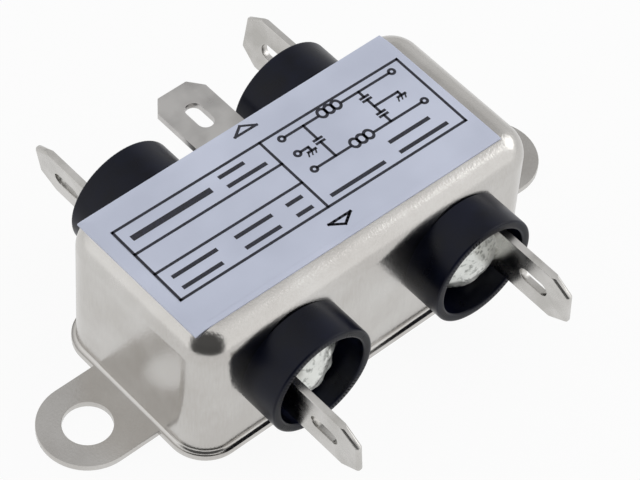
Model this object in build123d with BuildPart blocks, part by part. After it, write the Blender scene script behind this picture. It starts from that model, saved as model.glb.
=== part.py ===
from build123d import *

import math
import os

# Line filter for mains power, in a deep-drawn metal case with two mounting ears.
# Millimetres. +Z is up, +X runs along the case, -Y is the load side and +Y the line side.
# The origin is the centre of the case's underside.

# Driving dimensions of the drawn case
sheet = 0.7
corner_radius = 3.6
top_radius = 3.2
lip_reach = 0.5
bend_radius = 0.4
ear_hole_from_wall = 5.3
ear_hole_diameter = 5.1
ear_rim = 2.55

# Driving dimensions of the push-on tabs
tab_width = 6.3
tab_thickness = 0.8
tab_reach = 13.35
tab_offset = 3.15
tab_bend = 0.5
tab_tip_length = 2.0
tab_tip_height = 1.25
tab_slot_length = 3.7
tab_slot_width = 1.7
tab_slot_from_tip = 4.7
tab_lead_in = 0.2
foot_corner = 0.8

# Each tab is turned a little on its eyelet, in degrees about the Y axis
load_left_turn = -6.0
load_right_turn = -4.0
line_left_turn = -10.0
line_right_turn = 8.0

# Driving dimensions of the sleeves, washers, eyelets and solder
tab_room = 0.5
sleeve_wall = 1.0
sleeve_reach = 4.55
sleeve_floor = 1.0
sleeve_over_lip = 2.45
sleeve_under_top = 1.95
rim_round = 0.2
eyelet_diameter = 2.6
eyelet_wall = 0.4
eyelet_clearance = 0.05
eyelet_rim = 0.9
eyelet_rim_thickness = 0.4
shank_wall = 2.15
shank_clearance = 0.1
washer_rim = 1.4
washer_thickness = 1.0
solder_rim = 1.9
solder_height = 1.9

# Driving dimensions of the earth tab
earth_over_terminals = 3.5
earth_gap = 1.15
earth_reach = 9.25
earth_foot = 6.5
earth_tip_length = 1.6
earth_tip_height = 1.3
earth_slot_length = 3.6
earth_slot_width = 1.8
earth_slot_from_tip = 4.35
earth_bend = 0.6

# Driving dimensions of the label on the top
label_length = 38.9
label_width = 17.9
label_thickness = 0.15
label_shift_x = -1.17
label_shift_y = 0.45
label_droop_radius = 7.4

# Driving dimensions of what closes the underside and lines the top
resin_past_bend = 0.1
board_thickness = 1.0
board_clearance = 0.1
board_washer_gap = 0.3
insulator_thickness = 0.3
insulator_margin = 0.5

# Driving dimensions of the choke
core_outer_diameter = 15.6
core_inner_diameter = 8.8
core_round = 0.5
core_wall_gap = 2.2
wire_diameter = 1.0
wire_clearance = 0.05
turns = 8
turn_pitch = 18.0
wire_bend = 0.75
lead_bend = 1.2
lead_depth = 3.1
divider_thickness = 1.2
divider_clearance = 0.1

# Driving dimensions of the capacitors and their wires
film_thickness = 5.0
film_width = 13.0
film_round = 0.4
film_wall_gap = 0.9
film_core_gap = 6.25
film_lead_pitch = 10.0
film_lead_rise = 1.8
disc_diameter = 8.5
disc_thickness = 3.6
disc_round = 1.2
disc_gap = 2.8
disc_wall_gap = 0.6
disc_lead_pitch = 5.0
disc_lead_sink = 0.45
thin_wire = 0.6
thin_bend = 0.7
thin_wire_gap = 0.2
thin_lead_drop = 1.0
jumper_top_gap = 1.3
jumper_choke_gap = 0.75
earth_lead_dip = 1.6
earth_lead_spread = 0.8
earth_joint_radius = 1.9
earth_joint_height = 1.2
earth_joint_drop = 0.1

# Tabs' corners set the sleeves, and the sleeves set the case's height and the terminals' spacing
tab_outer_face = tab_offset + tab_thickness / 2
tab_inner_face = tab_outer_face - tab_thickness
sleeve_inner = math.hypot(tab_outer_face, tab_width / 2) + tab_room
sleeve_outer = sleeve_inner + sleeve_wall
terminal_height = sheet + sleeve_over_lip + sleeve_outer
terminal_x = tab_width / 2 + earth_gap + sleeve_outer
case_height = terminal_height + sleeve_outer + sleeve_under_top

# Heights over the long wall's outer face, along a terminal's axis
foot_top = sleeve_floor + tab_thickness
head_top = foot_top + eyelet_rim_thickness
washer_face = -sheet - washer_thickness
tail_face = washer_face - eyelet_rim_thickness

# Radii round a terminal's axis
tube_radius = eyelet_diameter / 2
bore_radius = tube_radius + eyelet_clearance
rim_radius = tube_radius + eyelet_rim
shank_radius = bore_radius + shank_wall
washer_radius = shank_radius + washer_rim
solder_radius = rim_radius + solder_rim

# The choke and the film capacitor set the case's length, and the choke sets its width
wire_offset = wire_clearance + wire_diameter / 2
outer_run = core_outer_diameter / 2 + wire_offset
inner_run = core_inner_diameter / 2 - wire_offset
choke_radius = outer_run + wire_diameter / 2
inner_length = 2 * (choke_radius + film_core_gap + film_thickness + film_wall_gap)
inner_width = core_outer_diameter + 2 * core_wall_gap
case_length = inner_length + 2 * sheet
case_width = inner_width + 2 * sheet
half_width = case_width / 2
ear_hole_x = case_length / 2 + ear_hole_from_wall
ear_width = ear_hole_diameter + 2 * ear_rim
inner_corner = corner_radius - sheet
inner_top = case_height - sheet
flat_length = case_length - 2 * top_radius
flat_width = case_width - 2 * top_radius

# Heights of what stands in the case
resin_bottom = bend_radius + sheet + resin_past_bend
board_top = terminal_height - washer_radius - board_washer_gap
resin_top = board_top - board_thickness
insulator_bottom = inner_top - insulator_thickness
jumper_height = insulator_bottom - jumper_top_gap - thin_wire / 2
choke_top = jumper_height - thin_wire / 2 - jumper_choke_gap
high_run = choke_top - wire_diameter / 2
low_run = board_top + wire_offset
core_bottom = low_run + wire_offset
core_height = high_run - wire_offset - core_bottom

# Slack used when edges are picked by their place
tolerance = 0.01

os.makedirs("parts", exist_ok=True)


def seat_plane(side, end):
    """Outer face of a long wall at one terminal: z points out of the case, x towards its near end."""
    return Plane(
        origin=(end * terminal_x, side * half_width, terminal_height),
        x_dir=(end, 0, 0),
        z_dir=(0, side, 0),
    )


def axial_plane(seat):
    """Plane through a seat's axis, with x as the radius and y as the height over the wall."""
    return Plane(origin=seat.origin, x_dir=seat.x_dir, z_dir=-seat.y_dir)


def outline_edges(builder, level, length, width, radius):
    """Edges at a height that follow a rounded rectangle centred on the Z axis."""

    def on_outline(edge):
        middle = edge @ 0.5
        past_x = max(abs(middle.X) - length / 2 + radius, 0)
        past_y = max(abs(middle.Y) - width / 2 + radius, 0)
        return abs(math.hypot(past_x, past_y) - radius) < tolerance

    level_edges = builder.edges().filter_by_position(Axis.Z, level - tolerance, level + tolerance)
    return level_edges.filter_by(on_outline)


def write(part, label):
    """Name a finished piece and write its STEP file."""
    part.label = label
    export_step(part, f"parts/{label}.step")


terminals = {
    "load_left": (seat_plane(-1, -1), load_left_turn),
    "load_right": (seat_plane(-1, 1), load_right_turn),
    "line_left": (seat_plane(1, -1), line_left_turn),
    "line_right": (seat_plane(1, 1), line_right_turn),
}

# Case: one sheet drawn into a box, with a trimmed lip and an ear at each end
with BuildPart() as case:
    with BuildSketch():
        RectangleRounded(case_length, case_width, corner_radius)
    extrude(amount=case_height)
    fillet(case.faces().sort_by(Axis.Z)[-1].edges(), radius=top_radius)
    offset(amount=-sheet, openings=case.faces().sort_by(Axis.Z)[0])
    with BuildSketch():
        RectangleRounded(
            case_length + 2 * lip_reach, case_width + 2 * lip_reach, corner_radius + lip_reach
        )
        SlotCenterToCenter(2 * ear_hole_x, ear_width)
        RectangleRounded(inner_length, inner_width, inner_corner, mode=Mode.SUBTRACT)
    extrude(amount=sheet)
    fillet(outline_edges(case, sheet, case_length, case_width, corner_radius), radius=bend_radius)
    fillet(
        outline_edges(case, 0, inner_length, inner_width, inner_corner), radius=bend_radius + sheet
    )
    with Locations((-ear_hole_x, 0, sheet), (ear_hole_x, 0, sheet)):
        Hole(ear_hole_diameter / 2, depth=sheet)
    for seat, turn in terminals.values():
        with BuildSketch(seat):
            Circle(shank_radius + shank_clearance)
        extrude(amount=-sheet, mode=Mode.SUBTRACT)
write(case.part, "case")

# Potting resin that seals the underside, below the board that carries the components
with BuildPart() as resin_seal:
    with BuildSketch(Plane.XY.offset(resin_bottom)):
        RectangleRounded(inner_length, inner_width, inner_corner)
    extrude(amount=resin_top - resin_bottom)
write(resin_seal.part, "resin_seal")

with BuildPart() as base_board:
    with BuildSketch(Plane.XY.offset(resin_top)):
        RectangleRounded(
            inner_length - 2 * board_clearance, inner_width - 2 * board_clearance, inner_corner
        )
    extrude(amount=board_thickness)
write(base_board.part, "base_board")

# Insulating sheet on the flat part of the case's inner top
with BuildPart() as top_insulator:
    with BuildSketch(Plane.XY.offset(insulator_bottom)):
        Rectangle(flat_length - 2 * insulator_margin, flat_width - 2 * insulator_margin)
    extrude(amount=insulator_thickness)
write(top_insulator.part, "top_insulator")


def make_bushing(seat):
    """Moulded insulator: an open sleeve outside the wall and a shank through it."""
    with BuildPart() as bushing:
        with BuildSketch(axial_plane(seat)):
            with BuildLine():
                Polyline(
                    (bore_radius, -sheet),
                    (shank_radius, -sheet),
                    (shank_radius, 0),
                    (sleeve_outer, 0),
                    (sleeve_outer, sleeve_reach),
                    (sleeve_inner, sleeve_reach),
                    (sleeve_inner, sleeve_floor),
                    (bore_radius, sleeve_floor),
                    close=True,
                )
            make_face()
        revolve(axis=Axis(seat.origin, seat.z_dir))
        rim = bushing.faces().sort_by(Axis(seat.origin, seat.z_dir))[-1]
        fillet(rim.edges(), radius=rim_round)
    return bushing.part


def make_washer(seat):
    """Flat insulating washer against the wall's inner face."""
    with BuildPart() as washer:
        with BuildSketch(seat.offset(washer_face)):
            Circle(washer_radius)
            Circle(bore_radius, mode=Mode.SUBTRACT)
        extrude(amount=washer_thickness)
    return washer.part


def make_eyelet(seat):
    """Tubular rivet that clamps the tab, the bushing, the wall and the washer."""
    hollow = tube_radius - eyelet_wall
    with BuildPart() as eyelet:
        with BuildSketch(axial_plane(seat)):
            with BuildLine():
                Polyline(
                    (hollow, tail_face),
                    (rim_radius, tail_face),
                    (rim_radius, washer_face),
                    (tube_radius, washer_face),
                    (tube_radius, foot_top),
                    (rim_radius, foot_top),
                    (rim_radius, head_top),
                    (hollow, head_top),
                    close=True,
                )
            make_face()
        revolve(axis=Axis(seat.origin, seat.z_dir))
    return eyelet.part


def make_tab(turned):
    """Push-on tab bent to an L: its foot lies on the sleeve's floor and its blade stands out."""
    along = Axis(turned.origin, turned.z_dir)
    outward = Axis(turned.origin, turned.x_dir)
    with BuildPart() as tab:
        with BuildSketch(axial_plane(turned)):
            with BuildLine():
                FilletPolyline(
                    (-tab_offset, sleeve_floor),
                    (tab_outer_face, sleeve_floor),
                    (tab_outer_face, tab_reach),
                    (tab_inner_face, tab_reach),
                    (tab_inner_face, foot_top),
                    (-tab_offset, foot_top),
                    radius=[0, tab_bend + tab_thickness, 0, 0, tab_bend, 0],
                    close=True,
                )
            make_face()
        extrude(amount=tab_width / 2, both=True)
        tip = tab.faces().sort_by(along)[-1]
        chamfer(
            tip.edges().filter_by(outward),
            length=tab_tip_height,
            length2=tab_tip_length,
            reference=tip,
        )
        fillet(tab.edges().filter_by(along).sort_by(outward)[:2], radius=foot_corner)
        tip_edges = tab.edges().filter_by_position(
            along, tab_reach - tab_tip_length + tolerance, tab_reach + tolerance
        )
        chamfer(tip_edges - tip_edges.filter_by(outward), length=tab_lead_in)
        blade_origin = turned.origin + turned.x_dir * tab_outer_face
        with BuildSketch(Plane(origin=blade_origin, x_dir=turned.z_dir, z_dir=turned.x_dir)):
            with Locations((tab_reach - tab_slot_from_tip, 0)):
                SlotOverall(tab_slot_length, tab_slot_width)
        extrude(amount=-tab_thickness, mode=Mode.SUBTRACT)
        with BuildSketch(turned.offset(foot_top)):
            Circle(bore_radius)
        extrude(amount=-tab_thickness, mode=Mode.SUBTRACT)
    return tab.part


def make_solder(turned, tab):
    """Mound of solder over the eyelet's head, the wire's end in it and the tab's foot."""
    rim = (solder_radius, sleeve_floor)
    apex = foot_top + solder_height
    with BuildPart() as solder:
        with BuildSketch(axial_plane(turned)):
            with BuildLine():
                Polyline((0, apex), (0, head_top), (rim_radius, head_top), (rim_radius, sleeve_floor), rim)
                TangentArc((0, apex), rim, tangent=(1, 0))
            make_face()
        revolve(axis=Axis(turned.origin, turned.z_dir))
        blade_face = Plane(origin=turned.origin + turned.x_dir * tab_inner_face, z_dir=turned.x_dir)
        split(bisect_by=blade_face, keep=Keep.BOTTOM)
        add(tab, mode=Mode.SUBTRACT)
    return solder.part


for name, (seat, turn) in terminals.items():
    write(make_bushing(seat), f"bushing_{name}")
    write(make_washer(seat), f"washer_{name}")
    write(make_eyelet(seat), f"eyelet_{name}")
    turned = seat.rotated((0, turn, 0))
    tab = make_tab(turned)
    write(tab, f"tab_{name}")
    write(make_solder(turned, tab), f"solder_{name}")

# Earth tab: an L welded to the line side's wall, halfway between the sleeves
earth_height = terminal_height + earth_over_terminals
earth_seat = Plane(origin=(0, half_width, earth_height), x_dir=(0, 1, 0), z_dir=(1, 0, 0))
with BuildPart() as earth_tab:
    with BuildSketch(earth_seat):
        with BuildLine():
            FilletPolyline(
                (0, -earth_foot),
                (tab_thickness, -earth_foot),
                (tab_thickness, -tab_thickness),
                (earth_reach, -tab_thickness),
                (earth_reach, 0),
                (0, 0),
                radius=[0, 0, earth_bend, 0, 0, earth_bend + tab_thickness],
                close=True,
            )
        make_face()
    extrude(amount=tab_width / 2, both=True)
    earth_tip = earth_tab.faces().sort_by(Axis.Y)[-1]
    chamfer(
        earth_tip.edges().filter_by(Axis.Z),
        length=earth_tip_height,
        length2=earth_tip_length,
        reference=earth_tip,
    )
    fillet(earth_tab.edges().filter_by(Axis.Y).sort_by(Axis.Z)[:2], radius=foot_corner)
    with BuildSketch(Plane.XY.offset(earth_height)):
        with Locations((0, half_width + earth_reach - earth_slot_from_tip)):
            SlotOverall(earth_slot_length, earth_slot_width, rotation=90)
    extrude(amount=-tab_thickness, mode=Mode.SUBTRACT)
write(earth_tab.part, "earth_tab")


def drooped_block(rise):
    """Block whose top is the case's flat top raised a little, and falls away gently past it."""
    radius = label_droop_radius + rise
    with BuildPart() as block:
        with BuildSketch(Plane.XY.offset(case_height - 2 * label_droop_radius)):
            Rectangle(flat_length + 2 * radius, flat_width + 2 * radius)
        extrude(amount=2 * label_droop_radius + rise)
        fillet(block.faces().sort_by(Axis.Z)[-1].edges(), radius=radius)
    return block.part


# Label: a film on the flat top, whose edges reach past it and droop a little
with BuildPart() as label:
    add(drooped_block(label_thickness))
    add(drooped_block(0), mode=Mode.SUBTRACT)
    with BuildSketch(Plane.XY.offset(case_height - label_droop_radius)):
        with Locations((label_shift_x, label_shift_y)):
            Rectangle(label_length, label_width)
    extrude(amount=2 * label_droop_radius, mode=Mode.INTERSECT)
write(label.part, "label")

# Choke core: a ferrite ring that stands clear of the board by the wire under it
with BuildPart() as choke_core:
    with BuildSketch(Plane.XY.offset(core_bottom)):
        Circle(core_outer_diameter / 2)
        Circle(core_inner_diameter / 2, mode=Mode.SUBTRACT)
    extrude(amount=core_height)
    fillet(choke_core.edges().filter_by(GeomType.CIRCLE), radius=core_round)
write(choke_core.part, "choke_core")

with BuildPart() as choke_divider:
    with BuildSketch(Plane.XY.offset(core_bottom)):
        Rectangle(divider_thickness, core_inner_diameter)
        Circle(core_inner_diameter / 2 - divider_clearance, mode=Mode.INTERSECT)
    extrude(amount=core_height)
write(choke_divider.part, "choke_divider")


def around(radius, angle, height):
    """Point at a radius and an angle in degrees round the Z axis."""
    return (radius * math.cos(math.radians(angle)), radius * math.sin(math.radians(angle)), height)


def sweep_wire(points, radii, diameter):
    """Round wire along straight runs joined by arcs."""
    with BuildPart() as wire:
        with BuildLine() as route:
            FilletPolyline(*points, radius=radii)
        with BuildSketch(Plane(origin=route.line @ 0, z_dir=route.line % 0)):
            Circle(diameter / 2)
        sweep()
    return wire.part


# Windings: one wire each, from the line side's eyelet round the core to the load side's eyelet
wire_end = half_width + head_top
lead_y = half_width - lead_depth
first_turn = 180 - turn_pitch * (turns - 1) / 2
winding_points = [
    (-terminal_x, wire_end, terminal_height),
    (-terminal_x, lead_y, terminal_height),
    (-terminal_x, lead_y, low_run),
]
for turn in range(turns):
    angle = first_turn + turn * turn_pitch
    winding_points += [
        around(outer_run, angle, low_run),
        around(outer_run, angle, high_run),
        around(inner_run, angle, high_run),
        around(inner_run, angle, low_run),
    ]
winding_points += [
    around(choke_radius, first_turn + turns * turn_pitch, low_run),
    (-terminal_x, -lead_y, low_run),
    (-terminal_x, -lead_y, terminal_height),
    (-terminal_x, -wire_end, terminal_height),
]
winding_radii = [lead_bend] * 2 + [wire_bend] * (4 * turns) + [lead_bend] * 3
winding_left = sweep_wire(winding_points, winding_radii, wire_diameter)
write(winding_left, "winding_left")
with BuildPart() as winding_right:
    mirror(winding_left, about=Plane.YZ)
write(winding_right.part, "winding_right")

# Film capacitor across the line, standing on the board at the case's left end
film_x = -(inner_length / 2 - film_wall_gap - film_thickness / 2)
film_top = jumper_height - film_lead_rise
with BuildPart() as film_capacitor:
    with BuildSketch(Plane.XY.offset(board_top)):
        with Locations((film_x, 0)):
            Rectangle(film_thickness, film_width)
    extrude(amount=film_top - board_top)
    fillet(film_capacitor.edges().filter_by(Axis.Z), radius=film_round)
write(film_capacitor.part, "film_capacitor")

# Disc capacitors to earth, standing on the board at the case's right end
disc_x = inner_length / 2 - disc_wall_gap - disc_diameter / 2
disc_height = board_top + disc_diameter / 2
disc_y = (disc_thickness + disc_gap) / 2
disc_lead_rise = math.sqrt((disc_diameter / 2) ** 2 - (disc_lead_pitch / 2) ** 2)
lead_foot = disc_height + disc_lead_rise - disc_lead_sink


def make_disc(side):
    """Coated ceramic disc on edge, with a hole in its rim for each wire."""
    middle = side * disc_y
    with BuildPart() as disc:
        with BuildSketch(Plane(origin=(disc_x, middle, disc_height), z_dir=(0, 1, 0))):
            Circle(disc_diameter / 2)
        extrude(amount=disc_thickness / 2, both=True)
        fillet(disc.edges().filter_by(GeomType.CIRCLE), radius=disc_round)
        with BuildSketch(Plane.XY.offset(lead_foot)):
            with Locations((disc_x, middle)):
                with GridLocations(disc_lead_pitch, 0, 2, 1):
                    Circle(thin_wire / 2)
        extrude(amount=disc_diameter, mode=Mode.SUBTRACT)
    return disc.part


def live_lead(start, end_x, end_y):
    """Thin wire from a capacitor up, across at the jumpers' height and down beside a winding's lead."""
    points = [
        start,
        (start[0], start[1], jumper_height),
        (end_x, end_y, jumper_height),
        (end_x, end_y, terminal_height - thin_lead_drop),
    ]
    return sweep_wire(points, [thin_bend] * 2, thin_wire)


def earth_lead(side):
    """Thin wire from a disc to the joint on the case's end wall."""
    start_x = disc_x + disc_lead_pitch / 2
    points = [
        (start_x, side * disc_y, lead_foot),
        (start_x, side * disc_y, earth_lead_height),
        (earth_lead_x, side * earth_lead_spread, earth_lead_height),
        (earth_lead_x, side * earth_lead_spread, earth_joint_level),
    ]
    return sweep_wire(points, [thin_bend] * 2, thin_wire)


earth_joint_level = case_height - top_radius - earth_joint_radius - earth_joint_drop
earth_lead_height = earth_joint_level + earth_lead_dip
earth_lead_x = inner_length / 2 - earth_joint_height / 2
thin_lead_y = lead_y - wire_diameter / 2 - thin_wire_gap - thin_wire / 2
film_lead_y = film_lead_pitch / 2
disc_lead_x = disc_x - disc_lead_pitch / 2
write(live_lead((film_x, film_lead_y, film_top), -terminal_x, thin_lead_y), "film_lead_left")
write(live_lead((film_x, -film_lead_y, film_top), terminal_x, thin_lead_y), "film_lead_right")
write(make_disc(-1), "disc_capacitor_front")
write(make_disc(1), "disc_capacitor_rear")
write(live_lead((disc_lead_x, -disc_y, lead_foot), terminal_x, -thin_lead_y), "disc_lead_front")
write(live_lead((disc_lead_x, disc_y, lead_foot), -terminal_x, -thin_lead_y), "disc_lead_rear")
earth_leads = {"front": earth_lead(-1), "rear": earth_lead(1)}
for name, lead in earth_leads.items():
    write(lead, f"earth_lead_{name}")

# Solder that joins both earth wires to the case's end wall
joint_seat = Plane(origin=(inner_length / 2, 0, earth_joint_level), x_dir=(0, 1, 0), z_dir=(-1, 0, 0))
with BuildPart() as earth_joint:
    with BuildSketch(axial_plane(joint_seat)):
        with BuildLine():
            Polyline((0, earth_joint_height), (0, 0), (earth_joint_radius, 0))
            TangentArc((0, earth_joint_height), (earth_joint_radius, 0), tangent=(1, 0))
        make_face()
    revolve(axis=Axis(joint_seat.origin, joint_seat.z_dir))
    for lead in earth_leads.values():
        add(lead, mode=Mode.SUBTRACT)
write(earth_joint.part, "earth_joint")
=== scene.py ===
"""Visual model of a small mains line filter in a drawn metal case.

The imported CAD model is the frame. Each class below dresses one sub-assembly: it gives the CAD
nodes their finishes, or models a finer piece that stands for a node. Lengths in the classes are
in millimetres, in the CAD model's frame: +X along the case, +Y to the line side, +Z up.
"""
import logging
import math
from dataclasses import dataclass, field
from enum import Enum
from typing import Callable, Iterator

import bmesh
import bpy
from mathutils import Matrix, Vector


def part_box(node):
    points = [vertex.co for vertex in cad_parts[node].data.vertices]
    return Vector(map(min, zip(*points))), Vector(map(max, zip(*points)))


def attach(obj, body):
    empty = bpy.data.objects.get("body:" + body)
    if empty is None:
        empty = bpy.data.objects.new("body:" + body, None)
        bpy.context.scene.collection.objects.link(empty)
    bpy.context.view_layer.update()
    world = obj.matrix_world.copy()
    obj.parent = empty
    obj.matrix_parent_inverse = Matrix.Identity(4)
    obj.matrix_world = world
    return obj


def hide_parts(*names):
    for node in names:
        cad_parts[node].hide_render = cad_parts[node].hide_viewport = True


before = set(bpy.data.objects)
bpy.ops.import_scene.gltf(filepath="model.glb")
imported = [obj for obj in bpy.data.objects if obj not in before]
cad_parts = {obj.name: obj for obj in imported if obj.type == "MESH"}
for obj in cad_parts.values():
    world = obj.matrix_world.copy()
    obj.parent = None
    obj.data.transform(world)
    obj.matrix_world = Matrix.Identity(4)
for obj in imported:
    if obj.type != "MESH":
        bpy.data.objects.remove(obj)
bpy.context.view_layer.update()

MM = 0.001
BODY = "root"
WHITE = "#ffffff"
# Noise mostly keeps between these two factors.
NOISE_SPAN = (0.3, 0.7)
# A face looks along an axis when its normal's share of that axis is above this.
FACING = 0.9
# Heights that differ by less than this, in millimetres, count as the same.
SLACK_MM = 0.01
# Corners of a CAD mesh this close, in millimetres, are one corner.
WELD_MM = 0.001
# Triangles of a CAD mesh within this angle, in degrees, are one flat face.
FLAT_DEGREES = 0.5
log = logging.getLogger("line_filter")

Piece = bpy.types.Object
Socket = bpy.types.NodeSocket
Shaded = bpy.types.Material | bpy.types.World
Colour = tuple[float, float, float, float]
Range = tuple[float, float]
Spot = tuple[float, float]
Place = tuple[float, float, float]


# Finishes


def srgb(value: str) -> Colour:
    """Turn an sRGB hex value into linear light.

    Args:
        value: Colour such as "#c0c0c0".

    Returns:
        Linear red, green, blue and an alpha of 1.
    """
    channels = [int(value[i:i + 2], 16) / 255 for i in (1, 3, 5)]
    linear = [c / 12.92 if c <= 0.04045 else ((c + 0.055) / 1.055) ** 2.4 for c in channels]
    return (linear[0], linear[1], linear[2], 1.0)


def add_node(
    shaded: Shaded,
    kind: str,
    inputs: dict[str | int, object] | None = None,
    **settings: object,
) -> bpy.types.Node:
    """Add a shader node with its settings, values and links.

    Args:
        shaded: Material or world whose tree gets the node.
        kind: Node type's name.
        inputs: Value, or output socket to link, for each input by name or number.
        **settings: Properties of the node.

    Returns:
        The new node.
    """
    tree = shaded.node_tree
    node = tree.nodes.new(kind)
    for name, value in settings.items():
        setattr(node, name, value)
    for name, value in (inputs or {}).items():
        if isinstance(value, bpy.types.NodeSocket):
            tree.links.new(value, node.inputs[name])
        else:
            node.inputs[name].default_value = value
    return node


def calculate(shaded: Shaded, operation: str, *values: float | Socket) -> Socket:
    """Result of one math operation on numbers or outputs, in the order of the node's inputs."""
    node = add_node(shaded, "ShaderNodeMath", dict(enumerate(values)), operation=operation)
    return node.outputs[0]


def along(shaded: Shaded, place: Socket, direction: Place) -> Socket:
    """How far a place, or a direction, lies along a direction: their dot product."""
    inputs = {0: place, 1: direction}
    return add_node(shaded, "ShaderNodeVectorMath", inputs, operation="DOT_PRODUCT").outputs["Value"]


def mix(shaded: Shaded, share: float, first: Socket, second: Socket) -> Socket:
    """Blend of two patterns, with a share of the second."""
    inputs = {"Factor": share, "A": first, "B": second}
    return add_node(shaded, "ShaderNodeMix", inputs, data_type="FLOAT").outputs["Result"]


def map_range(
    shaded: Shaded, value: Socket, source: Range, result: Range, curve: str = "LINEAR"
) -> Socket:
    """Turn one range of a value into another, and hold it beyond the ends.

    Args:
        shaded: Material or world whose tree gets the node.
        value: The value.
        source: Its range.
        result: What the two ends of that range become.
        curve: How the result runs from one end to the other.

    Returns:
        The result.
    """
    inputs = {
        "Value": value,
        "From Min": source[0],
        "From Max": source[1],
        "To Min": result[0],
        "To Max": result[1],
    }
    return add_node(shaded, "ShaderNodeMapRange", inputs, interpolation_type=curve).outputs["Result"]


def noise(
    shaded: Shaded,
    grain_mm: float,
    stretch: Place = (1.0, 1.0, 1.0),
    detail: float = 2.0,
    shift: float = 0.0,
) -> Socket:
    """Noise on Object coordinates whose grains have a real size.

    Args:
        shaded: Material whose tree gets the nodes.
        grain_mm: Width of a grain in millimetres.
        stretch: How many times longer a grain is along X, Y and Z.
        detail: Octaves of finer noise.
        shift: Offset in metres that gives another part of the pattern.

    Returns:
        The noise's factor, from 0 to 1.
    """
    place = add_node(shaded, "ShaderNodeTexCoord")
    scale = tuple(1.0 / longer for longer in stretch)
    mapping = add_node(
        shaded,
        "ShaderNodeMapping",
        {"Vector": place.outputs["Object"], "Scale": scale, "Location": (shift, shift, shift)},
    )
    grains = add_node(
        shaded,
        "ShaderNodeTexNoise",
        {"Vector": mapping.outputs["Vector"], "Scale": 1.0 / (grain_mm * MM), "Detail": detail},
    )
    return grains.outputs["Fac"]


def relief(shaded: Shaded, height: Socket, depth_mm: float, under: Socket | None = None) -> Socket:
    """Bump whose full height is a real depth.

    Args:
        shaded: Material whose tree gets the node.
        height: Pattern from 0 to 1.
        depth_mm: Depth of the pattern in millimetres.
        under: Normal of a coarser relief below this one.

    Returns:
        The bumped normal.
    """
    inputs: dict[str | int, object] = {"Height": height, "Strength": 1.0, "Distance": depth_mm * MM}
    if under is not None:
        inputs["Normal"] = under
    return add_node(shaded, "ShaderNodeBump", inputs).outputs["Normal"]


@dataclass(frozen=True)
class Finish:
    """A surface finish; each subclass says what the real one's making gives the eye.

    Its pattern turns from the dark colour to the light one between dark_until and light_from.
    """

    title: str
    light: str
    dark: str
    rough_low: float
    rough_high: float
    dark_until: float = 0.35
    light_from: float = 0.65
    metal: float = 0.0

    def material(self) -> bpy.types.Material:
        """Make this finish's material, or find it once it is made.

        Returns:
            The material.
        """
        known = bpy.data.materials.get(self.title)
        if known is not None:
            return known
        made = bpy.data.materials.new(self.title)
        made.use_nodes = True
        made.node_tree.nodes.clear()
        shader = add_node(made, "ShaderNodeBsdfPrincipled")
        add_node(made, "ShaderNodeOutputMaterial", {"Surface": shader.outputs["BSDF"]})
        shader.inputs["Metallic"].default_value = self.metal
        self.shade(made, shader)
        return made

    def shade(self, made: bpy.types.Material, shader: bpy.types.Node) -> None:
        """Set the shader's sockets.

        Args:
            made: Material that is being made.
            shader: Its Principled node.
        """
        raise NotImplementedError

    def colour(self, made: bpy.types.Material, pattern: Socket) -> Socket:
        """Colour that runs from dark to light as a pattern rises.

        Args:
            made: Material that is being made.
            pattern: Factor from 0 to 1.

        Returns:
            The colour.
        """
        ramp = add_node(made, "ShaderNodeValToRGB", {"Fac": pattern})
        dark, light = ramp.color_ramp.elements
        dark.position = self.dark_until
        dark.color = srgb(self.dark)
        light.position = self.light_from
        light.color = srgb(self.light)
        return ramp.outputs["Color"]

    def rough(self, made: bpy.types.Material, pattern: Socket) -> Socket:
        """Roughness that runs between the finish's two values as a pattern rises."""
        return map_range(made, pattern, NOISE_SPAN, (self.rough_low, self.rough_high))

    def link(self, made: bpy.types.Material, shader: bpy.types.Node, **sockets: Socket) -> None:
        """Link outputs to the shader's inputs, with _ for a space in a socket's name."""
        for name, output in sockets.items():
            made.node_tree.links.new(output, shader.inputs[name.replace("_", " ")])


@dataclass(frozen=True)
class DrawnTinplate(Finish):
    """Tinned steel sheet, deep drawn: orange peel, deepest round the top's bend, where drawing
    strained the sheet most, with soft blotches and a few faint scuffs.

    The real peel is finer. It is drawn as coarse as it needs to show.
    """

    metal: float = 1.0
    peel_mm: float = 0.28
    peel_depth_mm: float = 0.011
    bend_depth_mm: float = 0.03
    bend_from_mm: float = 16.3
    bend_to_mm: float = 17.5
    blotch_mm: float = 6.0
    scuff_mm: float = 0.15
    scuff_depth_mm: float = 0.0008
    scuff_share: float = 0.25
    scuff_stretch: Place = (1.0, 1.0, 9.0)

    def shade(self, made: bpy.types.Material, shader: bpy.types.Node) -> None:
        """Metal that drawing left with orange peel, and whose gloss varies in blotches."""
        blotches = noise(made, self.blotch_mm, detail=3.0)
        peel = noise(made, self.peel_mm, detail=3.0, shift=0.4)
        scuffs = noise(made, self.scuff_mm, self.scuff_stretch, detail=3.0, shift=0.9)
        place = add_node(made, "ShaderNodeTexCoord")
        axes = add_node(made, "ShaderNodeSeparateXYZ", {"Vector": place.outputs["Object"]})
        strain = map_range(
            made,
            axes.outputs["Z"],
            (self.bend_from_mm * MM, self.bend_to_mm * MM),
            (self.peel_depth_mm / self.bend_depth_mm, 1.0),
        )
        strained = calculate(made, "MULTIPLY", peel, strain)
        worn = mix(made, self.scuff_share, blotches, scuffs)
        self.link(
            made,
            shader,
            Base_Color=self.colour(made, worn),
            Roughness=self.rough(made, worn),
            Normal=relief(
                made, scuffs, self.scuff_depth_mm, relief(made, strained, self.bend_depth_mm)
            ),
        )


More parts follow.
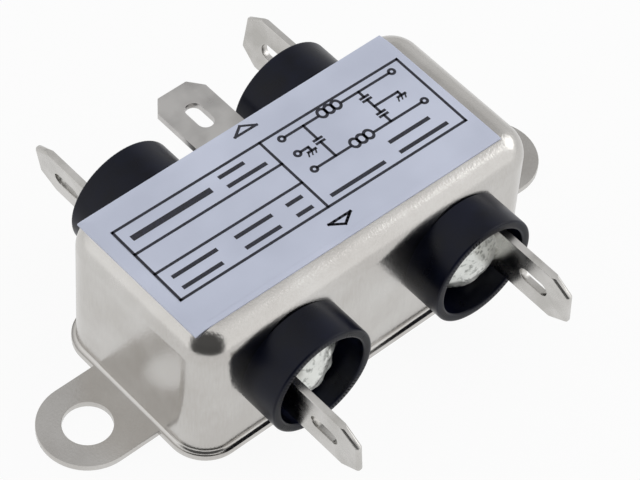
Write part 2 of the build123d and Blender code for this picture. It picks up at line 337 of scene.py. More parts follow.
@dataclass(frozen=True)
class HotTinned(Finish):
    """Stamped strip or wire, hot tinned: bright and even, with a few long faint wipe marks.

    The real marks are finer. They are drawn as coarse as they need to show.
    """

    metal: float = 1.0
    wipe_mm: float = 0.35
    wipe_depth_mm: float = 0.0012
    wipe_stretch: Place = (1.0, 12.0, 1.0)
    cloud_mm: float = 2.8

    def shade(self, made: bpy.types.Material, shader: bpy.types.Node) -> None:
        """Metal with wipe marks along the strip and soft clouds in its gloss."""
        wipes = noise(made, self.wipe_mm, self.wipe_stretch, shift=0.2)
        clouds = noise(made, self.cloud_mm, detail=3.0)
        self.link(
            made,
            shader,
            Base_Color=self.colour(made, clouds),
            Roughness=self.rough(made, clouds),
            Normal=relief(made, wipes, self.wipe_depth_mm),
        )


@dataclass(frozen=True)
class FrozenSolder(Finish):
    """Hand-laid solder: bright where it froze smooth, grey and grainy where it cooled last."""

    dark_until: float = 0.22
    light_from: float = 0.5
    metal: float = 0.75
    grain_mm: float = 0.5
    grain_depth_mm: float = 0.03
    grain_share: float = 0.5
    pool_mm: float = 1.8
    pool_depth_mm: float = 0.12

    def shade(self, made: bpy.types.Material, shader: bpy.types.Node) -> None:
        """Metal with bright pools, dull grains and dark pits of flux between them."""
        pools = noise(made, self.pool_mm, detail=4.0)
        grains = noise(made, self.grain_mm, detail=4.0, shift=0.5)
        pits = map_range(made, grains, NOISE_SPAN, (0.0, 1.0))
        self.link(
            made,
            shader,
            Base_Color=self.colour(made, mix(made, self.grain_share, pools, pits)),
            Roughness=self.rough(made, pools),
            Normal=relief(
                made, grains, self.grain_depth_mm, relief(made, pools, self.pool_depth_mm)
            ),
        )


@dataclass(frozen=True)
class MouldedPlastic(Finish):
    """Injection moulded plastic: even colour with a spark-eroded grain and soft gloss.

    The real grain is finer. It is drawn as coarse as it needs to show.
    """

    grain_mm: float = 0.18
    grain_depth_mm: float = 0.004
    drift_mm: float = 3.24
    ior: float = 1.5
    shine: float = 0.5

    def shade(self, made: bpy.types.Material, shader: bpy.types.Node) -> None:
        """Plastic with mould grain and slow changes of gloss."""
        grains = noise(made, self.grain_mm)
        drift = noise(made, self.drift_mm, shift=0.3)
        self.link(
            made,
            shader,
            Base_Color=self.colour(made, drift),
            Roughness=self.rough(made, drift),
            Normal=relief(made, grains, self.grain_depth_mm),
        )
        shader.inputs["IOR"].default_value = self.ior
        shader.inputs["Specular IOR Level"].default_value = self.shine


@dataclass(frozen=True)
class SilveredFilm(Finish):
    """Polyester label film with a silvered back: pale, slightly lavender, with a satin sheen.

    The silvering's real flecks are finer. They are drawn as coarse as they need to show.
    """

    metal: float = 0.25
    fleck_mm: float = 0.12
    fleck_depth_mm: float = 0.0008
    wave_mm: float = 9.0
    wave_depth_mm: float = 0.05
    ior: float = 1.5

    def shade(self, made: bpy.types.Material, shader: bpy.types.Node) -> None:
        """Film with flecks from the silvering and a faint lie of the glue below."""
        flecks = noise(made, self.fleck_mm)
        waves = noise(made, self.wave_mm, shift=0.7)
        self.link(
            made,
            shader,
            Base_Color=self.colour(made, waves),
            Roughness=self.rough(made, flecks),
            Normal=relief(
                made, flecks, self.fleck_depth_mm, relief(made, waves, self.wave_depth_mm)
            ),
        )
        shader.inputs["IOR"].default_value = self.ior


@dataclass(frozen=True)
class PrintersInk(Finish):
    """Screen-printed ink: matt blue-black that covers a little unevenly.

    The screen's real mesh is finer. Its thin places are drawn as coarse as they need to show.
    """

    dark_until: float = 0.4
    light_from: float = 0.72
    cover_mm: float = 0.2
    ior: float = 1.5

    def shade(self, made: bpy.types.Material, shader: bpy.types.Node) -> None:
        """Ink with thin places where the screen's mesh held it back."""
        cover = noise(made, self.cover_mm, detail=3.0)
        self.link(
            made, shader, Base_Color=self.colour(made, cover), Roughness=self.rough(made, cover)
        )
        shader.inputs["IOR"].default_value = self.ior


@dataclass(frozen=True)
class CastResin(Finish):
    """Potting resin poured and cured in place: glossy, level, with slow ripples and dust."""

    dark_until: float = 0.4
    light_from: float = 0.7
    ripple_mm: float = 5.0
    ripple_depth_mm: float = 0.06
    dust_mm: float = 0.5
    ior: float = 1.55

    def shade(self, made: bpy.types.Material, shader: bpy.types.Node) -> None:
        """Resin with slow ripples, and a little dust that dulls it in patches."""
        ripples = noise(made, self.ripple_mm)
        dust = noise(made, self.dust_mm, detail=4.0, shift=0.6)
        self.link(
            made,
            shader,
            Base_Color=self.colour(made, dust),
            Roughness=self.rough(made, dust),
            Normal=relief(made, ripples, self.ripple_depth_mm),
        )
        shader.inputs["IOR"].default_value = self.ior


@dataclass(frozen=True)
class Fibrous(Finish):
    """Pressed paper laminate or card: short fibres in a warm resin colour."""

    fibre_mm: float = 0.3
    fibre_stretch: Place = (6.0, 1.0, 1.0)
    fibre_depth_mm: float = 0.006

    def shade(self, made: bpy.types.Material, shader: bpy.types.Node) -> None:
        """Board with short fibres that lie along X."""
        fibres = noise(made, self.fibre_mm, self.fibre_stretch, detail=3.0)
        self.link(
            made,
            shader,
            Base_Color=self.colour(made, fibres),
            Roughness=self.rough(made, fibres),
            Normal=relief(made, fibres, self.fibre_depth_mm),
        )


@dataclass(frozen=True)
class Sintered(Finish):
    """Pressed and fired ceramic, bare or dipped: a sandy skin with pinholes."""

    dark_until: float = 0.3
    light_from: float = 0.7
    grit_mm: float = 0.25
    grit_depth_mm: float = 0.02

    def shade(self, made: bpy.types.Material, shader: bpy.types.Node) -> None:
        """Ceramic with grit and a speckled colour."""
        grit = noise(made, self.grit_mm, detail=3.0)
        self.link(
            made,
            shader,
            Base_Color=self.colour(made, grit),
            Roughness=self.rough(made, grit),
            Normal=relief(made, grit, self.grit_depth_mm),
        )


@dataclass(frozen=True)
class EnamelledWire(Finish):
    """Copper wire under clear enamel: a warm metal with a glossy coat."""

    dark_until: float = 0.3
    light_from: float = 0.7
    metal: float = 1.0
    draw_mm: float = 0.15
    coat: float = 0.8
    coat_rough: float = 0.08

    def shade(self, made: bpy.types.Material, shader: bpy.types.Node) -> None:
        """Copper with the drawing die's marks under a clear coat."""
        marks = noise(made, self.draw_mm)
        self.link(
            made, shader, Base_Color=self.colour(made, marks), Roughness=self.rough(made, marks)
        )
        shader.inputs["Coat Weight"].default_value = self.coat
        shader.inputs["Coat Roughness"].default_value = self.coat_rough


CASE_TINPLATE = DrawnTinplate("tinned steel, deep drawn", "#cbc9c6", "#bcb9b5", 0.16, 0.28)
TAB_TIN = HotTinned("tinned brass, stamped", "#d0cecb", "#b8b6b2", 0.2, 0.34)
EARTH_TIN = HotTinned("tinned steel, stamped", "#cac8c6", "#b9b7b5", 0.26, 0.38)
EYELET_TIN = HotTinned("tinned brass, rolled eyelet", "#c9b681", "#b09c66", 0.2, 0.35)
LEAD_TIN = HotTinned("tinned copper wire", "#d0d0cc", "#b4b4b0", 0.15, 0.3)
SOLDER = FrozenSolder("tin solder, hand laid", "#eceeea", "#8d908b", 0.26, 0.5)
SLEEVE_PLASTIC = MouldedPlastic(
    "phenolic plastic, moulded", "#0b1024", "#070a18", 0.26, 0.38, shine=0.2
)
FILM_CASE_PLASTIC = MouldedPlastic("polyester box, moulded", "#d7b23a", "#c19a26", 0.28, 0.4)
LABEL_FILM = SilveredFilm("polyester film, silvered", "#d9dff2", "#cdd3e6", 0.34, 0.46)
LABEL_INK = PrintersInk("label ink, screen printed", "#2e2f42", "#171823", 0.45, 0.6)
SEAL_RESIN = CastResin("epoxy resin, cast", "#34332f", "#1d1c1b", 0.12, 0.4)
PAPER_BOARD = Fibrous("paper laminate, pressed", "#a58a4e", "#846b38", 0.5, 0.65)
INSULATING_CARD = Fibrous("insulating card, calendered", "#ddd6bf", "#c9c0a4", 0.5, 0.7)
FERRITE = Sintered("ferrite, sintered", "#46484c", "#2d2e31", 0.45, 0.65)
DISC_COAT = Sintered("epoxy coat over ceramic, dipped", "#4a7ab8", "#345f99", 0.3, 0.5)
WINDING_WIRE = EnamelledWire("copper wire, enamelled", "#c4673c", "#a34f2b", 0.15, 0.3)


# Making pieces


def deselect() -> None:
    """Leave nothing selected."""
    bpy.ops.object.select_all(action="DESELECT")


def activate(piece: Piece) -> None:
    """Select one piece alone and make it the active one.

    Args:
        piece: The piece.
    """
    deselect()
    piece.select_set(True)
    bpy.context.view_layer.objects.active = piece


def settle(piece: Piece) -> None:
    """Move a piece's place, turn and scale into its mesh."""
    activate(piece)
    bpy.ops.object.transform_apply(location=True, rotation=True, scale=True)


class Pick(Enum):
    """What an edit-mode selection picks."""

    VERTS = "verts"
    EDGES = "edges"
    FACES = "faces"


def pick(piece: Piece, kind: Pick, test: Callable[[object], bool]) -> None:
    """Select only the elements that pass a test, in edit mode.

    Args:
        piece: Piece in edit mode.
        kind: What is selected.
        test: Tells of a bmesh vertex, edge or face whether it is wanted.
    """
    bpy.ops.mesh.select_mode(type={"verts": "VERT", "edges": "EDGE", "faces": "FACE"}[kind.value])
    bpy.ops.mesh.select_all(action="DESELECT")
    mesh = bmesh.from_edit_mesh(piece.data)
    for element in getattr(mesh, kind.value):
        if test(element):
            element.select_set(True)
    mesh.select_flush_mode()
    bmesh.update_edit_mesh(piece.data)


def finish_piece(
    piece: Piece, name: str, finish: Finish, nodes: tuple[str, ...], smooth: float
) -> None:
    """Name, smooth, dress and mount a finished piece.

    Args:
        piece: Piece whose mesh is done.
        name: The piece's name.
        finish: Its surface finish.
        nodes: CAD nodes that it stands for.
        smooth: Angle in degrees below which edges are shaded smooth.
    """
    settle(piece)
    piece.name = name
    piece.data.name = name
    bpy.ops.object.shade_smooth_by_angle(angle=math.radians(smooth))
    modify(piece, "WEIGHTED_NORMAL", mode="FACE_AREA", weight=50, keep_sharp=True)
    piece.data.materials.clear()
    piece.data.materials.append(finish.material())
    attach(piece, BODY)
    if nodes:
        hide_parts(*nodes)
    log.info("piece %s: %d faces", name, len(piece.data.polygons))


def modify(piece: Piece, kind: str, **settings: object) -> None:
    """Add a modifier with its settings and apply it.

    Args:
        piece: The piece that gets it.
        kind: The modifier's type.
        **settings: Its properties.
    """
    activate(piece)
    modifier = piece.modifiers.new(kind.lower(), kind)
    for name, value in settings.items():
        setattr(modifier, name, value)
    bpy.ops.object.modifier_apply(modifier=modifier.name)


def merged_copy(node: str) -> Piece:
    """Copy a CAD node and join its loose triangles into whole faces.

    Args:
        node: The CAD node.

    Returns:
        The copy.
    """
    activate(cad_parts[node])
    bpy.ops.object.duplicate()
    copy = bpy.context.active_object
    copy.parent = None
    for key in list(copy.keys()):
        if key.startswith("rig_"):
            del copy[key]
    bpy.ops.object.mode_set(mode="EDIT")
    bpy.ops.mesh.select_all(action="SELECT")
    bpy.ops.mesh.remove_doubles(threshold=WELD_MM * MM)
    bpy.ops.mesh.dissolve_limited(angle_limit=math.radians(FLAT_DEGREES))
    bpy.ops.object.mode_set(mode="OBJECT")
    return copy


def eased_copy(node: str, name: str, finish: Finish, edge_mm: float, sharp: float) -> None:
    """Copy a CAD node and ease its sharp edges, as stamping and tumbling leave them.

    Args:
        node: CAD node that the piece stands for.
        name: The piece's name.
        finish: Its surface finish.
        edge_mm: Width of the eased edge.
        sharp: Angle in degrees above which an edge is eased.
    """
    copy = merged_copy(node)
    modify(
        copy,
        "BEVEL",
        width=edge_mm * MM,
        segments=2,
        limit_method="ANGLE",
        angle_limit=math.radians(sharp),
    )
    finish_piece(copy, name, finish, (node,), smooth=32.0)


def dress(node: str, finish: Finish) -> None:
    """Give a CAD node that keeps its own shape a finish.

    Args:
        node: The CAD node.
        finish: Its surface finish.
    """
    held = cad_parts[node]
    held.data.materials.clear()
    held.data.materials.append(finish.material())
    log.info("node %s: %s", node, finish.title)


# Sub-assemblies


@dataclass
class Case:
    """The drawn case with its ears, and what closes its underside."""

    edge: float = 0.06
    sharp: float = 55.0

    def build(self) -> None:
        """Ease the case's cut edges and dress the seal, board and insulator."""
        eased_copy("case", "drawn_case", CASE_TINPLATE, self.edge, self.sharp)
        dress("resin_seal", SEAL_RESIN)
        dress("base_board", PAPER_BOARD)
        dress("top_insulator", INSULATING_CARD)


class Side(Enum):
    """Long side of the case, by the sign of Y."""

    LOAD = -1
    LINE = 1


@dataclass
class Terminal:
    """One push-on tab in its moulded sleeve, with its eyelet, washer and solder."""

    name: str
    side: Side
    end: int
    seed: int
    # Sleeve
    sleeve_wall: float = 1.0
    sleeve_reach: float = 4.55
    sleeve_floor: float = 1.0
    sleeve_sides: int = 96
    shank_radius: float = 3.5
    sheet: float = 0.7
    rim_round: float = 0.24
    # Tab
    blade_x: float = 3.15
    blade_edge: float = 0.07
    blade_sharp: float = 40.0
    # Solder
    mound_aside: float = 0.4
    mound_radius: float = 4.6
    mound_height: float = 2.8
    mound_rough: float = 0.45
    mound_lump: float = 1.4
    mound_facets: int = 3
    mound_soft: int = 2

    def __post_init__(self) -> None:
        """Measure the CAD model's sleeve."""
        low, high = (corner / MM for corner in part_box(f"bushing_{self.name}"))
        self.sleeve_radius = (high.x - low.x) / 2
        self.wall_y = max(self.side.value * low.y, self.side.value * high.y) - self.sleeve_reach
        self.centre = Vector(
            ((low.x + high.x) / 2, self.side.value * self.wall_y, (low.z + high.z) / 2)
        )

    def past_wall(self, point: Vector) -> float:
        """How far a point in millimetres lies outside the wall."""
        return self.side.value * point.y - self.wall_y

    def build(self) -> None:
        """Build the sleeve, tab and solder, and dress the hidden eyelet and washer."""
        self.sleeve()
        blade = f"push_on_tab_{self.name}"
        eased_copy(f"tab_{self.name}", blade, TAB_TIN, self.blade_edge, self.blade_sharp)
        self.solder()
        dress(f"eyelet_{self.name}", EYELET_TIN)
        dress(f"washer_{self.name}", INSULATING_CARD)

    def sleeve(self) -> None:
        """Moulded sleeve: a cylinder inset and pushed in to a cup, with a shank at its back."""
        outward = Vector((0, self.side.value, 0))
        deselect()
        bpy.ops.mesh.primitive_cylinder_add(
            vertices=self.sleeve_sides,
            radius=self.sleeve_radius * MM,
            depth=self.sleeve_reach * MM,
            location=(self.centre + outward * self.sleeve_reach / 2) * MM,
            rotation=(-self.side.value * math.pi / 2, 0, 0),
        )
        sleeve = bpy.context.active_object
        settle(sleeve)
        bpy.ops.object.mode_set(mode="EDIT")
        for facing, inset, move in (
            (outward, self.sleeve_wall, self.sleeve_floor - self.sleeve_reach),
            (-outward, self.sleeve_radius - self.shank_radius, self.sheet),
        ):
            pick(sleeve, Pick.FACES, lambda face: face.normal.dot(facing) > FACING)
            bpy.ops.mesh.inset(thickness=inset * MM)
            bpy.ops.mesh.extrude_region_move(TRANSFORM_OT_translate={"value": facing * move * MM})
        for height, segments in ((self.sleeve_reach, 4), (self.sleeve_floor, 3)):
            pick(sleeve, Pick.EDGES, lambda edge: self.on_rim(edge, height))
            bpy.ops.mesh.bevel(offset=self.rim_round * MM, segments=segments, affect="EDGES")
        bpy.ops.object.mode_set(mode="OBJECT")
        name = f"moulded_sleeve_{self.name}"
        finish_piece(sleeve, name, SLEEVE_PLASTIC, (f"bushing_{self.name}",), smooth=40.0)

    def on_rim(self, edge: bmesh.types.BMEdge, height: float) -> bool:
        """Tell whether an edge runs round the axis at a height past the wall."""
        heights = [self.past_wall(vertex.co / MM) for vertex in edge.verts]
        return all(abs(value - height) < SLACK_MM for value in heights)

    def solder(self) -> None:
        """Mound of solder: a ball of facets, flattened, jostled and softened."""
        outward = Vector((0, self.side.value, 0))
        towards_blade = Vector((self.end, 0, 0))
        foot = self.centre + outward * self.sleeve_floor + towards_blade * self.mound_aside
        deselect()
        bpy.ops.mesh.primitive_ico_sphere_add(
            subdivisions=self.mound_facets,
            radius=MM,
            location=foot * MM,
            scale=(self.mound_radius, self.mound_height, self.mound_radius),
        )
        mound = bpy.context.active_object
        settle(mound)
        bpy.ops.object.mode_set(mode="EDIT")
        pick(mound, Pick.VERTS, lambda vertex: self.past_wall(vertex.co / MM) > self.sleeve_floor)
        bpy.ops.transform.vertex_random(offset=self.mound_rough * MM, seed=self.seed)
        for point, keep in (
            (foot, outward),
            (self.centre + towards_blade * self.blade_x, -towards_blade),
        ):
            bpy.ops.mesh.select_all(action="SELECT")
            bpy.ops.mesh.bisect(plane_co=point * MM, plane_no=keep, clear_inner=True, use_fill=True)
        bpy.ops.object.mode_set(mode="OBJECT")
        modify(mound, "SUBSURF", levels=self.mound_soft, render_levels=self.mound_soft)
        lumps = bpy.data.textures.new(f"solder_lumps_{self.name}", "CLOUDS")
        lumps.noise_scale = self.mound_lump * MM
        lumps.noise_depth = 1
        modify(
            mound,
            "DISPLACE",
            texture=lumps,
            strength=self.mound_rough * MM,
            mid_level=0.5,
            texture_coords="LOCAL",
        )
        name = f"solder_mound_{self.name}"
        finish_piece(mound, name, SOLDER, (f"solder_{self.name}",), smooth=28.0)


@dataclass
class EarthTab:
    """The tab that is welded to the line side's wall."""

    edge: float = 0.07
    sharp: float = 40.0

    def build(self) -> None:
        """Ease the tab's cut edges."""
        eased_copy("earth_tab", "welded_earth_tab", EARTH_TIN, self.edge, self.sharp)


@dataclass
class Label:
    """The printed label: a frame, ruled cells, two arrows and a circuit drawing.

    The film was cut, and the print laid, a little askew. The drawing's rails are live, earth and
    neutral, from the inlet on the left to the outlet on the right.
    """

    # Film and ink
    ink: float = 0.016
    ink_rise: float = 0.012
    smooth: float = 20.0
    droop_radius: float = 7.55
    flat: float = 7.5
    trim_left: float = 0.42
    trim_right: float = 0.1
    turn: float = -0.8
    line: float = 0.3
    fine_line: float = 0.16
    # Frame, cells and write-in lines
    rule: float = 0.46
    heading_rule: float = 0.7
    left: float = -18.95
    right: float = 17.2
    divider: float = -0.7
    upper: float = 6.0
    lower: float = -4.3
    cell_lines: Range = (2.6, -0.4)
    # Arrows
    arrow_foot: Range = (-2.1, 0.6)
    arrow_x: float = -0.75
    arrow_levels: tuple[Range, Range] = ((8.95, 8.0), (-6.9, -6.0))
    arrow_parts: int = 4
    # Circuit
    live: float = 5.05
    earth: float = 2.65
    neutral: float = 0.15
    inlet: float = 1.35
    outlet: float = 15.7
    ring_sides: int = 32
    eye: float = 0.32
    eye_gap: float = 0.4
    sign: float = 0.45
    plate_level: float = 0.22
    plate_gap: float = 0.25
    across_x: float = 4.1
    to_case_x: float = 11.3
    to_case_levels: Range = (3.95, 1.45)
    ground_level: float = 2.1
    ground_wire: float = 0.1
    ground_lean: float = 0.25
    ground_xs: Range = (2.7, 14.4)
    coil_wires: Range = (6.0, 9.1)
    coil_x: float = 6.65
    coil_turns: int = 3
    coil_pitch: float = 0.9
    coil_rise: float = 0.1
    coil_radius: float = 0.48
    coil_stretch: float = 1.15
    strokes: list[Piece] = field(default_factory=list)

    def __post_init__(self) -> None:
        """Take the print's height from the CAD model's label."""
        self.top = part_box("label")[1].z / MM - self.ink / 2

    def build(self) -> None:
        """Dress the film and print on it."""
        film = merged_copy("label")
        film.data.transform(Matrix.Translation((0, 0, -self.ink_rise * MM)))
        self.cut_askew(film)
        finish_piece(film, "label_film", LABEL_FILM, ("label",), self.smooth)
        self.frame_lines()
        self.arrows()
        self.circuit()
        self.rules()
        self.join_print()

    def cut_askew(self, film: Piece) -> None:
        """Trim the film's near edge, more at its left end.

        Args:
            film: The film's piece.
        """
        low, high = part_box("label")
        for vertex in film.data.vertices:
            if vertex.co.y < -self.flat * MM:
                leftward = (high.x - vertex.co.x) / (high.x - low.x)
                vertex.co.y += (self.trim_right + (self.trim_left - self.trim_right) * leftward) * MM

    def on_film(self, spot: Spot) -> Place:
        """Point in metres, on the print's level, of a spot in millimetres."""
        return (spot[0] * MM, spot[1] * MM, self.top * MM)

    def bar(self, start: Spot, end: Spot, width: float | None = None) -> None:
        """Print a straight stroke.

        Args:
            start: One end, x and y.
            end: The other end.
            width: Width of the stroke, or None for the usual line.
        """
        width = width or self.line
        run = Vector((end[0] - start[0], end[1] - start[1]))
        deselect()
        bpy.ops.mesh.primitive_cube_add(
            size=MM,
            location=self.on_film(((start[0] + end[0]) / 2, (start[1] + end[1]) / 2)),
            rotation=(0, 0, math.atan2(run.y, run.x)),
            scale=(run.length + width, width, self.ink),
        )
        self.strokes.append(bpy.context.active_object)

    def path(self, *points: Spot) -> None:
        """Print straight strokes from point to point."""
        for start, end in zip(points, points[1:]):
            self.bar(start, end)

    def ring(self, centre: Spot, radius: float, stretch: float = 1.0) -> None:
        """Print a ring: a disc whose middle is inset and taken out.

        Args:
            centre: Its centre, x and y.
            radius: Radius of the stroke's middle.
            stretch: Height of the ring over its width.
        """
        deselect()
        bpy.ops.mesh.primitive_cylinder_add(
            vertices=self.ring_sides,
            radius=(radius + self.line / 2) * MM,
            depth=self.ink * MM,
            location=self.on_film(centre),
        )
        ring = bpy.context.active_object
        settle(ring)
        bpy.ops.object.mode_set(mode="EDIT")
        pick(ring, Pick.FACES, lambda face: abs(face.normal.z) > FACING)
        bpy.ops.mesh.inset(thickness=self.line * MM)
        bpy.ops.mesh.bridge_edge_loops()
        bpy.ops.mesh.select_all(action="SELECT")
        bpy.ops.transform.resize(value=(1.0, stretch, 1.0), center_override=self.on_film(centre))
        bpy.ops.mesh.normals_make_consistent(inside=False)
        bpy.ops.object.mode_set(mode="OBJECT")
        self.strokes.append(ring)

    def frame_lines(self) -> None:
        """Print the frame, the divider and the cells' lines."""
        self.path(
            (self.left, self.lower),
            (self.right, self.lower),
            (self.right, self.upper),
            (self.left, self.upper),
            (self.left, self.lower),
        )
        self.bar((self.divider, self.lower), (self.divider, self.upper))
        for level in self.cell_lines:
            self.bar((self.left, level), (self.divider, level))

    def arrows(self) -> None:
        """Print an open arrow head towards each long side.

        Its sides are short strokes in a row, which follow the film's drooping edge.
        """
        left, right = self.arrow_foot
        for tip, foot in self.arrow_levels:
            corners = [Vector((left, foot)), Vector((right, foot)), Vector((self.arrow_x, tip))]
            for start, end in zip(corners, corners[1:] + corners[:1]):
                steps = (step / self.arrow_parts for step in range(self.arrow_parts + 1))
                self.path(*(tuple(start.lerp(end, step)) for step in steps))

    def ground(self, x: float, y: float) -> None:
        """Print the sign for a joint to the case: a bar with slanted strokes below."""
        self.bar((x - self.sign, y), (x + self.sign, y))
        for step in (-self.sign, 0.0, self.sign):
            foot = (x + step - self.ground_lean, y - self.sign)
            self.bar((x + step, y), foot, self.fine_line)

    def capacitors(self, x: float, *levels: float) -> None:
        """Print a wire from rail to rail with a pair of plates at each level.

        Args:
            x: Place of the wire.
            *levels: Middles of the pairs, from the top.
        """
        above = self.live
        for level in levels:
            for offset in (-self.plate_level, self.plate_level):
                self.bar((x - self.sign, level + offset), (x + self.sign, level + offset))
            self.bar((x, above), (x, level + self.plate_gap))
            above = level - self.plate_gap
        self.bar((x, above), (x, self.neutral))

    def circuit(self) -> None:
        """Print the filter's circuit: two coils, three capacitors and two joints to the case."""
        inner, outer = self.coil_wires
        for level in (self.live, self.neutral, self.earth):
            self.ring((self.inlet, level), self.eye)
        for level in (self.live, self.neutral):
            self.ring((self.outlet, level), self.eye)
            self.bar((self.inlet + self.eye_gap, level), (inner, level))
            self.bar((outer, level), (self.outlet - self.eye_gap, level))
            for index in range(self.coil_turns):
                spot = (self.coil_x + index * self.coil_pitch, level + self.coil_rise)
                self.ring(spot, self.coil_radius, self.coil_stretch)
        self.capacitors(self.across_x, self.earth)
        self.capacitors(self.to_case_x, *self.to_case_levels)
        for start, x in zip((self.inlet + self.eye_gap, self.to_case_x), self.ground_xs):
            joint = (x, self.ground_level + self.ground_wire)
            self.path((start, self.earth), (x, self.earth), joint)
            self.ground(x, self.ground_level)

    def rules(self) -> None:
        """Rule the cells with plain write-in lines."""
        self.bar((-17.6, 4.3), (-8.5, 4.3), self.heading_rule)
        for x0, x1, y in (
            (-6.7, -3.5, 5.0),
            (-6.7, -1.8, 3.6),
            (-17.9, -12.4, -1.7),
            (-10.2, -5.6, -1.7),
            (-3.8, -1.8, -1.7),
            (-17.9, -13.0, -3.3),
            (-10.2, -5.8, -3.3),
            (-3.8, -1.8, -3.3),
            (0.4, 7.4, -3.4),
            (9.3, 14.6, -1.8),
            (9.3, 15.6, -3.4),
        ):
            self.bar((x0 + self.rule / 2, y), (x1 - self.rule / 2, y), self.rule)

    def join_print(self) -> None:
        """Join the strokes, turn them as the print was laid, and droop them with the film."""
        deselect()
        for stroke in self.strokes:
            stroke.select_set(True)
        bpy.context.view_layer.objects.active = self.strokes[0]
        bpy.ops.object.join()
        ink = bpy.context.active_object
        settle(ink)
        ink.data.transform(Matrix.Rotation(math.radians(self.turn), 4, "Z"))
        for vertex in ink.data.vertices:
            vertex.co.z -= self.droop(vertex.co / MM) * MM
        finish_piece(ink, "label_print", LABEL_INK, (), self.smooth)

    def droop(self, point: Vector) -> float:
        """How far the film's long edges have drooped at a point, in millimetres."""
        past = max(abs(point.y) - self.flat, 0.0)
        return self.droop_radius - math.sqrt(self.droop_radius**2 - past**2)


@dataclass
class Inside:
    """The choke and capacitors, which the closed case hides."""

    finishes: dict[str, Finish] = field(
        default_factory=lambda: {
            "choke_core": FERRITE,
            "choke_divider": INSULATING_CARD,
            "winding_left": WINDING_WIRE,
            "winding_right": WINDING_WIRE,
            "film_capacitor": FILM_CASE_PLASTIC,
            "film_lead_left": LEAD_TIN,
            "film_lead_right": LEAD_TIN,
            "disc_capacitor_front": DISC_COAT,
            "disc_capacitor_rear": DISC_COAT,
            "disc_lead_front": LEAD_TIN,
            "disc_lead_rear": LEAD_TIN,
            "earth_lead_front": LEAD_TIN,
            "earth_lead_rear": LEAD_TIN,
            "earth_joint": SOLDER,
        }
    )

    def build(self) -> None:
        """Dress each hidden node."""
        for node, finish in self.finishes.items():
            dress(node, finish)


# Stage and camera


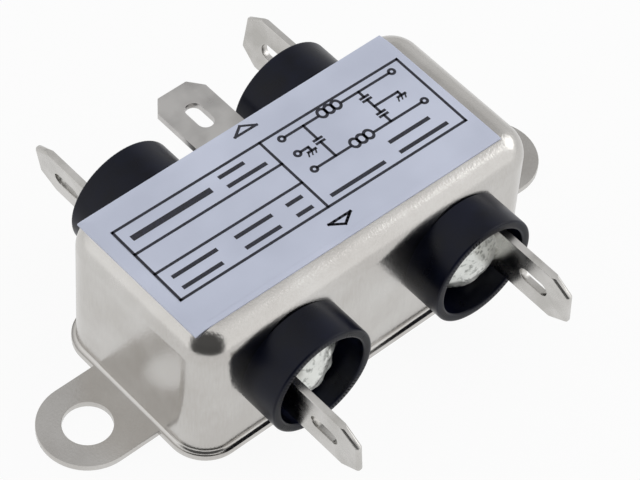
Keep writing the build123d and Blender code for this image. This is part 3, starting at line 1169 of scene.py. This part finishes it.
@dataclass
class Studio:
    """Pale floor, one soft lamp, a plain room and the photograph's camera.

    The room, and the floor's painted glow in mirrors, are lighter towards bright_towards.
    from dark_outer to dark_inner degrees round it, opens the unlit room behind the camera.
    """

    # Camera, whose angles are in degrees
    azimuth: float = -45.275
    elevation: float = 50.847
    roll: float = 4.812
    distance: float = 313.976
    aside: float = -1.925
    above: float = 0.641
    focal_pixels: float = 3177.023
    image_width: float = 640.0
    sensor: float = 36.0
    nearest: float = 1.0
    target: Place = (0.0, 0.0, 9.0)
    # Room
    room_light: float = 1.1
    bright_towards: Place = (-0.7, -0.714, 0.0)
    lean_heights: Range = (0.35, 0.75)
    lean_shares: Range = (0.36, 0.75)
    dark_towards: Place = (-0.615, -0.61, 0.5)
    dark_outer: float = 60.0
    dark_inner: float = 43.0
    dark_light: float = 0.07
    # Floor
    floor_size: float = 3000.0
    paper_grey: str = "#e0e0e0"
    paper_seen: float = 0.94
    # Painted light: the glow that mirrors see of the floor, paper_mirrored at the front left, fading
    # to paper_far over paper_fade millimetres towards the right back.
    paper_mirrored: float = 0.9
    paper_far: float = 0.3
    paper_fade: float = 200.0
    # Lamp
    softbox_place: Place = (478.0, -174.0, 318.0)
    softbox_side: float = 360.0
    softbox_watts: float = 0.55

    def build(self) -> None:
        """Set up the floor, world, lamp and camera."""
        self.floor()
        self.world()
        self.softbox()
        self.camera()
        scene = bpy.context.scene
        scene.view_settings.view_transform = "Standard"

    def floor(self) -> None:
        """Large pale floor that shows white to the camera and keeps a soft shadow.

        In mirrors the floor glows, and that glow is painted light which fades towards the right
        back.
        """
        deselect()
        bpy.ops.mesh.primitive_plane_add(size=self.floor_size * MM)
        floor = bpy.context.active_object
        floor.name = "studio_floor"
        paper = bpy.data.materials.new("paper, matt white")
        paper.use_nodes = True
        paper.node_tree.nodes.clear()
        diffuse = add_node(paper, "ShaderNodeBsdfDiffuse", {"Color": srgb(self.paper_grey)})
        glow = add_node(paper, "ShaderNodeEmission", {"Color": srgb(WHITE), "Strength": 1.0})
        rays = add_node(paper, "ShaderNodeLightPath").outputs
        mirrored = calculate(paper, "MAXIMUM", rays["Is Glossy Ray"], rays["Is Transmission Ray"])
        place = add_node(paper, "ShaderNodeTexCoord").outputs["Object"]
        # Painted light: the floor's glow in mirrors fades from paper_mirrored to paper_far towards
        # the right back, as if the paper were lit unevenly.
        level = map_range(
            paper,
            along(paper, place, self.bright_towards),
            (-self.paper_fade * MM, 0.0),
            (self.paper_far, self.paper_mirrored),
        )
        painted_glow_share = calculate(paper, "MULTIPLY", mirrored, level)
        share = calculate(paper, "MULTIPLY_ADD", rays["Is Camera Ray"], self.paper_seen, painted_glow_share)
        sides = {0: share, 1: diffuse.outputs[0], 2: glow.outputs[0]}
        mixed = add_node(paper, "ShaderNodeMixShader", sides)
        add_node(paper, "ShaderNodeOutputMaterial", {"Surface": mixed.outputs[0]})
        floor.data.materials.append(paper)

    def world(self) -> None:
        """White backdrop for the camera, and a plain room, lighter on the left, for the object.

        The dark opening is what the case's near corner mirrors.
        """
        room = bpy.data.worlds.new("studio_room")
        bpy.context.scene.world = room
        room.use_nodes = True
        room.node_tree.nodes.clear()
        rays = add_node(room, "ShaderNodeLightPath").outputs
        place = add_node(room, "ShaderNodeTexCoord").outputs["Generated"]
        axes = add_node(room, "ShaderNodeSeparateXYZ", {"Vector": place})
        lean = map_range(
            room, axes.outputs["Z"], self.lean_heights, self.lean_shares, "SMOOTHSTEP"
        )
        across = along(room, place, self.bright_towards)
        level = calculate(room, "MULTIPLY_ADD", across, lean, self.room_light)
        edge = tuple(math.cos(math.radians(angle)) for angle in (self.dark_outer, self.dark_inner))
        towards = along(room, place, self.dark_towards)
        shade = map_range(room, towards, edge, (1.0, self.dark_light), "SMOOTHSTEP")
        strength = calculate(room, "MULTIPLY", level, shade)
        fill = add_node(room, "ShaderNodeBackground", {"Color": srgb(WHITE), "Strength": strength})
        white = add_node(room, "ShaderNodeBackground", {"Color": srgb(WHITE), "Strength": 1.0})
        sides = {0: rays["Is Camera Ray"], 1: fill.outputs[0], 2: white.outputs[0]}
        mixed = add_node(room, "ShaderNodeMixShader", sides)
        add_node(room, "ShaderNodeOutputWorld", {"Surface": mixed.outputs[0]})

    def softbox(self) -> None:
        """Square soft lamp at the right front that faces the object."""
        place = Vector(self.softbox_place)
        deselect()
        bpy.ops.object.light_add(type="AREA", location=place * MM)
        lamp = bpy.context.active_object
        lamp.name = "softbox_right"
        lamp.data.size = self.softbox_side * MM
        lamp.data.energy = self.softbox_watts
        aim = Vector(self.target) - place
        lamp.rotation_euler = aim.to_track_quat("-Z", "Y").to_euler()

    def camera(self) -> None:
        """Camera at the photograph's place, found by fitting it to the photograph's corners."""
        turn, lift, roll = (math.radians(v) for v in (self.azimuth, self.elevation, self.roll))
        back = Vector(
            (
                math.sin(turn) * math.cos(lift),
                -math.cos(turn) * math.cos(lift),
                math.sin(lift),
            )
        )
        level = (-back).cross(Vector((0, 0, 1))).normalized()
        upright = level.cross(-back)
        right = level * math.cos(roll) + upright * math.sin(roll)
        up = upright * math.cos(roll) - level * math.sin(roll)
        place = Vector(self.target) + back * self.distance - right * self.aside - up * self.above
        deselect()
        bpy.ops.object.camera_add()
        camera = bpy.context.active_object
        camera.name = "photo_camera"
        turned = Matrix((right, up, back)).transposed().to_4x4()
        camera.matrix_world = Matrix.Translation(place * MM) @ turned
        camera.data.sensor_width = self.sensor
        camera.data.lens = self.focal_pixels / self.image_width * self.sensor
        camera.data.clip_start = self.nearest * MM
        bpy.context.scene.camera = camera


def terminals() -> Iterator[Terminal]:
    """The four terminals, from the near left to the far right."""
    yield Terminal("load_left", Side.LOAD, end=-1, seed=3)
    yield Terminal("load_right", Side.LOAD, end=1, seed=8)
    yield Terminal("line_left", Side.LINE, end=-1, seed=5)
    yield Terminal("line_right", Side.LINE, end=1, seed=11)


def main() -> None:
    """Build each sub-assembly in order, then the studio."""
    logging.basicConfig(level=logging.INFO, format="%(message)s")
    Case().build()
    for terminal in terminals():
        terminal.build()
    EarthTab().build()
    Label().build()
    Inside().build()
    Studio().build()


if __name__ == "__main__":
    main()
